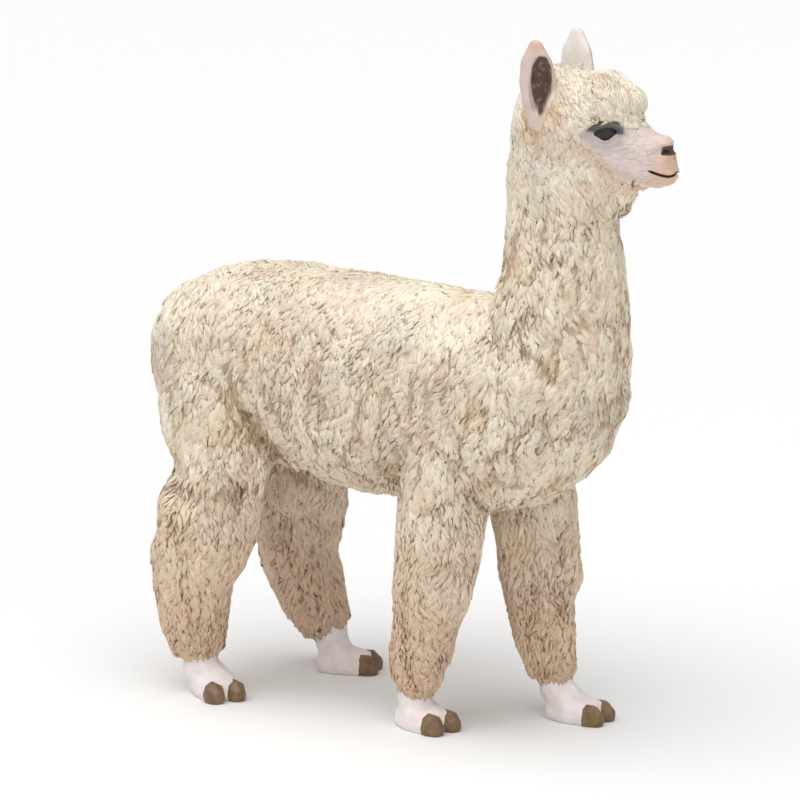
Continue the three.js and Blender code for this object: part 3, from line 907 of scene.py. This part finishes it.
lock_faces = []
for ring in range(body_rings):
    for k in range(SIDES):
        a, b = ring * SIDES + k, ring * SIDES + (k + 1) % SIDES
        if ring < body_rings - 1:
            lock_faces += [(a, b + SIDES, b), (a, a + SIDES, b + SIDES)]
        else:
            lock_faces.append((b, a, per_lock - 1))
for k in range(1, SIDES - 1):
    lock_faces.append((0, k, k + 1))
lock_faces = np.array(lock_faces)

# Values for the paint: the crest of each lock against its crevices, how warm it is and its own tint. Crests
# are painted lighter where the locks face up, as painted light from overhead, and lighter all over the head.
crease = creases(places.reshape(-1, 3)).reshape(places.shape[:2])
crease *= 0.6 + 0.25 * smoothstep(34, 44, roots[:, 2])
sunlit = 0.45 * smoothstep(0.1, 0.8, root_normals[:, 2])
sunlit += (0.85 - sunlit) * smoothstep(82, 92, roots[:, 2])
crest = np.clip(0.3 + 1.5 * t[body, 0], 0, 1)[None, :, None] * np.clip(SECTION[:, 1] + 0.4, 0, 1)
# Folds of the hind legs are darkened here and through the crease value: painted shade under barrel and thigh.
crest = crest - crease.T[:, body, None] - 0.5 * folds(roots)[:, None, None]
crest = np.concatenate((crest.reshape(number, -1), 1.0 - crease[-1][:, None]), axis=1)
crest = crest * (1 - sunlit[:, None]) + sunlit[:, None]
across_value = np.concatenate((np.tile(SECTION[:, 0], body_rings), [0.0]))
along_value = np.concatenate((np.repeat(t[body, 0], SIDES), [1.0]))
edge = depth_inside(FACE_EDGE, head_roots[:, 0], head_roots[:, 2])
on_cheek = (head_roots[:, 2] < 0.5) & (head_roots[:, 2] > -12) & (roots[:, 0] > 15)
warmth = bump(edge, -0.4, 1.5) * on_cheek * 0.8
warmth += smoothstep(0.35, 1.1, waves(roots, 8, 21)) * 0.3 + smoothstep(14, 6.5, roots[:, 2]) * 0.35
for name in ("ear_left", "ear_right"):
    low_end, high_end = box_of(name)
    ear_foot = np.array((*(low_end + high_end)[:2] / 2, low_end[2] + 2.5))
    warmth += 0.6 * bump(np.linalg.norm(roots - ear_foot, axis=1), 2.5, 1.5)
warmth += 0.8 * crease[0] * smoothstep(0.2, 0.9, waves(roots, 9, 35))
# Tints are raised with sunlit too: painted light on the locks that face up, and a paler head.
tints = 0.4 + 0.2 * rng.normal(size=number) + 0.16 * waves(roots, 13, 9) + 0.5 * sunlit
tints = np.clip(tints, 0, 1)
PATCH = 0.003
root_uv = (loop_uv[tri_loops[root_tris]] * root_weights[:, :, None]).sum(axis=1)
patch = np.column_stack((across_value * 0.5, along_value - 0.5)) * PATCH

# Each lock belongs to the part of the body it grows from. The trunk's are shared out in four.
region_of = np.array([tri_node[solids.find_nearest(spot)[2]] for spot in (roots * mm).tolist()])
grows_on = np.char.partition(region_of, "_")[:, 0]
on_legs = (grows_on == "foot") | (grows_on == "nail")
legs = np.where(roots[:, 0] > -5, "leg_front", "leg_hind")
sides = np.where(roots[:, 1] > 0, "_left", "_right")
ends = np.where(roots[:, 0] > -4, "_fore", "_rear")
region_of = np.where(on_legs, np.char.add(legs, sides), region_of)
region_of = np.where((grows_on == "ear") | (grows_on == "eye"), "head", region_of)
region_of = np.where(grows_on == "trunk", np.char.add(np.char.add("trunk", sides), ends), region_of)

CREAM = paint(247, 238, 218)
CREAM_DEEP = paint(231, 215, 187)
TAN = paint(222, 190, 161)
WASH = paint(190, 168, 138)
WASH_LOW = paint(164, 132, 102)
RUST = paint(214, 174, 140)
LILAC = paint(206, 194, 182)


def worked(operation, first, second):
    """One step of arithmetic between values, each a socket or a number."""
    step = inside.new("ShaderNodeMath")
    step.operation = operation
    for index, value in enumerate((first, second)):
        if isinstance(value, (int, float)):
            step.inputs[index].default_value = value
        else:
            wire(value, step.inputs[index])
    return step.outputs[0]


def eased(value, low_edge, high_edge):
    """A soft step from 0 to 1 between two edges."""
    edge = node("ShaderNodeMapRange", From_Min=low_edge, From_Max=high_edge)
    edge.interpolation_type = "SMOOTHSTEP"
    wire(value, edge.inputs["Value"])
    return edge.outputs["Result"]


def relief(height, strength, depth):
    """Fine relief, too small to model, given to the shader."""
    raised = node("ShaderNodeBump", Strength=strength, Distance=depth)
    wire(height, raised.inputs["Height"])
    wire(raised.outputs["Normal"], shader.inputs["Normal"])


# The coat's tones, shared by the fleece and by the skin under it.
coat_tones = bpy.data.node_groups.new("coat_tones", "ShaderNodeTree")
for label in ("Crest", "Tint", "Warm"):
    coat_tones.interface.new_socket(label, in_out="INPUT", socket_type="NodeSocketFloat")
coat_tones.interface.new_socket("Color", in_out="OUTPUT", socket_type="NodeSocketColor")
inside = coat_tones.nodes
wire = coat_tones.links.new
given = inside.new("NodeGroupInput").outputs
place = inside.new("ShaderNodeTexCoord")
height = inside.new("ShaderNodeSeparateXYZ")
wire(place.outputs["Object"], height.inputs[0])
low_leg = eased(height.outputs["Z"], 46 * mm, 7 * mm)
top = blended(given["Tint"], CREAM_DEEP, CREAM)
top = blended(worked("MULTIPLY", blotches(110, 2, 0.48, 0.7), 0.45), top, LILAC)
top = blended(worked("MULTIPLY", given["Warm"], 0.55), top, RUST)
top = blended(worked("MULTIPLY", low_leg, 0.85), top, TAN)
crevice = blended(low_leg, WASH, WASH_LOW)
uneven = worked("MULTIPLY", worked("SUBTRACT", blotches(900, 2, 0.2, 0.8), 0.5), 0.35)
# Crest sets how far cream covers the wash; it carries painted light on up-facing locks and painted shade in
# folds.
brushed = eased(worked("ADD", given["Crest"], uneven), -0.15, 0.5)
wire(blended(brushed, crevice, top), inside.new("NodeGroupOutput").inputs["Color"])


def layer(label, output="Fac"):
    """A value laid on the mesh, point by point."""
    reader = inside.new("ShaderNodeAttribute")
    reader.attribute_name = label
    return reader.outputs[output]


fleece_paint, inside, wire, shader = new_paint("fleece_paint", 0.62, 0.3)
tones = inside.new("ShaderNodeGroup")
tones.node_tree = coat_tones
for label in ("Crest", "Tint", "Warm"):
    wire(layer(label.lower()), tones.inputs[label])
wire(tones.outputs["Color"], shader.inputs["Base Color"])
place = inside.new("ShaderNodeTexCoord")
wander = worked("MULTIPLY", blotches(1300, 2, 0.2, 0.8), 5.0)
strands = worked("ADD", worked("MULTIPLY", layer("strand"), 5.5), wander)
relief(worked("SINE", strands, 0), 0.8, 0.07 * mm)


def coat_piece(name, chosen):
    """One mesh of all the locks chosen, with their paint values and bake patches."""
    count = len(chosen)
    mesh = bpy.data.meshes.new(name)
    flat_verts = (verts[chosen].reshape(-1, 3) * mm).astype(np.float32)
    flat_faces = (lock_faces[None] + (np.arange(count) * per_lock)[:, None, None]).reshape(-1, 3)
    mesh.vertices.add(len(flat_verts))
    mesh.vertices.foreach_set("co", flat_verts.ravel())
    mesh.loops.add(len(flat_faces) * 3)
    mesh.loops.foreach_set("vertex_index", flat_faces.ravel().astype(np.int32))
    mesh.polygons.add(len(flat_faces))
    mesh.polygons.foreach_set("loop_start", np.arange(0, len(flat_faces) * 3, 3, dtype=np.int32))
    mesh.update(calc_edges=True)
    mesh.polygons.foreach_set("use_smooth", np.ones(len(flat_faces), dtype=bool))
    for label, values in (
        ("crest", crest[chosen].ravel()),
        ("strand", np.tile(across_value, count)),
        ("tint", np.repeat(tints[chosen], per_lock)),
        ("warm", np.repeat(warmth[chosen], per_lock)),
    ):
        mesh.attributes.new(label, "FLOAT", "POINT").data.foreach_set("value", values)
    uv = (root_uv[chosen][:, None, :] + patch[None]).reshape(-1, 2)
    mesh.uv_layers.new(name="OFBake").data.foreach_set("uv", uv[flat_faces.ravel()].ravel())
    piece = bpy.data.objects.new(name, mesh)
    bpy.context.collection.objects.link(piece)
    mesh.materials.append(fleece_paint)
    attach(piece, "root")


for region in sorted(set(region_of)):
    coat_piece(f"coat_{region}", np.flatnonzero(region_of == region))

# ---- The skin's paint ----
# The face, ears and feet are bare of fleece and sprayed a pale lilac white, with peach round the mouth. The
# lids, nose, mouth and ear hollows are picked out with a fine brush.

BARE_WHITE = paint(218, 204, 197)
FOOT_WHITE = paint(242, 235, 234)
PEACH = paint(218, 186, 160)
NOSE_BROWN = paint(84, 68, 60)
NOSTRIL_DARK = paint(40, 30, 28)
MOUTH_BROWN = paint(72, 48, 38)
LID_GREY = paint(106, 107, 113)
POUCH_GREY = paint(176, 177, 180)
LASH_DARK = paint(62, 60, 64)
EAR_PINK = paint(212, 194, 184)
EAR_BACK = paint(236, 230, 224)
EAR_BROWN = paint(86, 66, 56)
MOTTLE = paint(222, 196, 186)
PAD_HIGH, PAD_LOW, PAD_BACK = -1.7, -3.2, 15.0


def sprayed(mask, colour, strength=1.0):
    """The skin's colours so far, with one more laid over them."""
    weight = np.clip(mask * strength, 0, 1)[:, None]
    return colours * (1 - weight) + np.array(colour) * weight


head_points = to_head(points)
flat = head_points.copy()
flat[:, 1] = abs(flat[:, 1])
x, y, z = flat.T
on_face = points[:, 2] > 82
colours = np.tile(np.array(BARE_WHITE), (len(points), 1))
colours = sprayed(points[:, 2] < 12, FOOT_WHITE)
# The brown wash runs onto the face along the wool's edge, deepened there as painted shade under the
# overhanging wool.
colours = sprayed(smoothstep(1.4, -0.2, depth_inside(FACE_EDGE, x, z)) * on_face, WASH, 0.3)
colours = sprayed(smoothstep(13.6, 16.2, x - 0.25 * (z + 4)) * on_face, PEACH, 0.9)
pad_edges = (PAD_HIGH - z, z - PAD_LOW, 0.8 * (x - 0.1 * y - PAD_BACK))
pad_inside = -np.log(sum(np.exp(-5 * np.clip(edge, -9, 9)) for edge in pad_edges)) / 5
colours = sprayed(smoothstep(-0.08, 0.12, pad_inside) * on_face, NOSE_BROWN)
colours = sprayed(smoothstep(0.4, 0.15, nostril_gap) * on_face, NOSTRIL_DARK, 0.85)
mouth_paint = smoothstep(0.3, 0.14, mouth_gap + 0.12 * smoothstep(0.1, 0.0, mouth_place))
colours = sprayed(mouth_paint * on_face, MOUTH_BROWN)
split_paint = smoothstep(0.22, 0.08, y) * smoothstep(-4.4, -3.6, z) * smoothstep(-2.9, -3.1, z)
colours = sprayed(split_paint * (x > 14) * on_face, MOUTH_BROWN, 0.7)
near_eye, opening, height = round_eye(flat, on_face)
upper = smoothstep(-0.3, 0.25, height)
colours = sprayed(smoothstep(2.6, 0.6, opening) * near_eye, POUCH_GREY, 0.4)
colours = sprayed(smoothstep(1.15, 0.75, opening) * upper * near_eye, LID_GREY, 0.85)
colours = sprayed(bump(opening, 1.0, 0.25) * upper * near_eye, LASH_DARK, 0.7)
colours = sprayed(smoothstep(0.95, 0.4, opening) * upper * near_eye, LASH_DARK, 0.7)
colours = sprayed(smoothstep(0.16, 0.02, opening) * near_eye, LASH_DARK)
normals = read_normals(skin.data)
flecks = smoothstep(0.15, 0.5, grain(head_points * (2.4, 2.4, 1.2)))
for name, mirror in (("ear_left", 1), ("ear_right", -1)):
    stalk, faces_way, wide_way, tip_z = ear_frame(name, mirror)
    local = head_points - stalk
    across, through = local @ wide_way, local @ faces_way
    ear = (bare > 0.5) & (np.hypot(across, through) < 5) & (z > 0)
    facing_out = normals @ (faces_way @ HEAD_AXES)
    front = smoothstep(-0.3, 0.4, facing_out)
    below_tip = tip_z - local[:, 2]
    wide = np.interp(below_tip, (2.2, 2.6, 4.0, 6.0, 8.0, 10.0, 11.2), (0.1, 0.8, 1.45, 1.65, 1.5, 0.9, 0.3))
    hollow = smoothstep(wide + 0.12, wide - 0.12, abs(across - 0.5)) * smoothstep(2.1, 2.5, below_tip)
    hollow *= ear * (facing_out > 0.0) * smoothstep(11.6, 11.0, below_tip)
    colours = sprayed(ear, EAR_PINK)
    colours = sprayed(ear * (1 - front), EAR_BACK)
    colours = sprayed(ear * front * smoothstep(3.2, 0.6, below_tip), PEACH, 0.7)
    colours = sprayed(hollow, EAR_BROWN)
    colours = sprayed(hollow * flecks, EAR_PINK, 0.25)
skin.data.attributes.new("paint", "FLOAT_COLOR", "POINT").data.foreach_set("color", colours.ravel())

skin_paint, inside, wire, shader = new_paint("skin_paint", 0.5, 0.35)
tones = inside.new("ShaderNodeGroup")
tones.node_tree = coat_tones
tones.inputs["Crest"].default_value = 0.45
tones.inputs["Tint"].default_value = 0.5
place = inside.new("ShaderNodeTexCoord")
mottled = blended(worked("MULTIPLY", blotches(420, 4, 0.4, 0.75), 0.4), (1.0, 1.0, 1.0, 1.0), MOTTLE)
stained = blended(1.0, layer("paint", "Color"), mottled, "MULTIPLY")
wire(blended(layer("bare"), tones.outputs["Color"], stained), shader.inputs["Base Color"])
stretched = node("ShaderNodeMapping", Scale=(0.4, 1, 0.8), Rotation=(0, 0.5, 0))
wire(place.outputs["Object"], stretched.inputs["Vector"])
pores = node("ShaderNodeTexNoise", Scale=1700, Detail=3, Distortion=0.6)
wire(stretched.outputs["Vector"], pores.inputs["Vector"])
relief(pores.outputs["Fac"], 0.6, 0.12 * mm)
skin.data.materials.clear()
skin.data.materials.append(skin_paint)
select_only(skin)
bpy.ops.object.shade_smooth()
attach(skin, "root")
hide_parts(*FLESH)

bpy.context.view_layer.update()
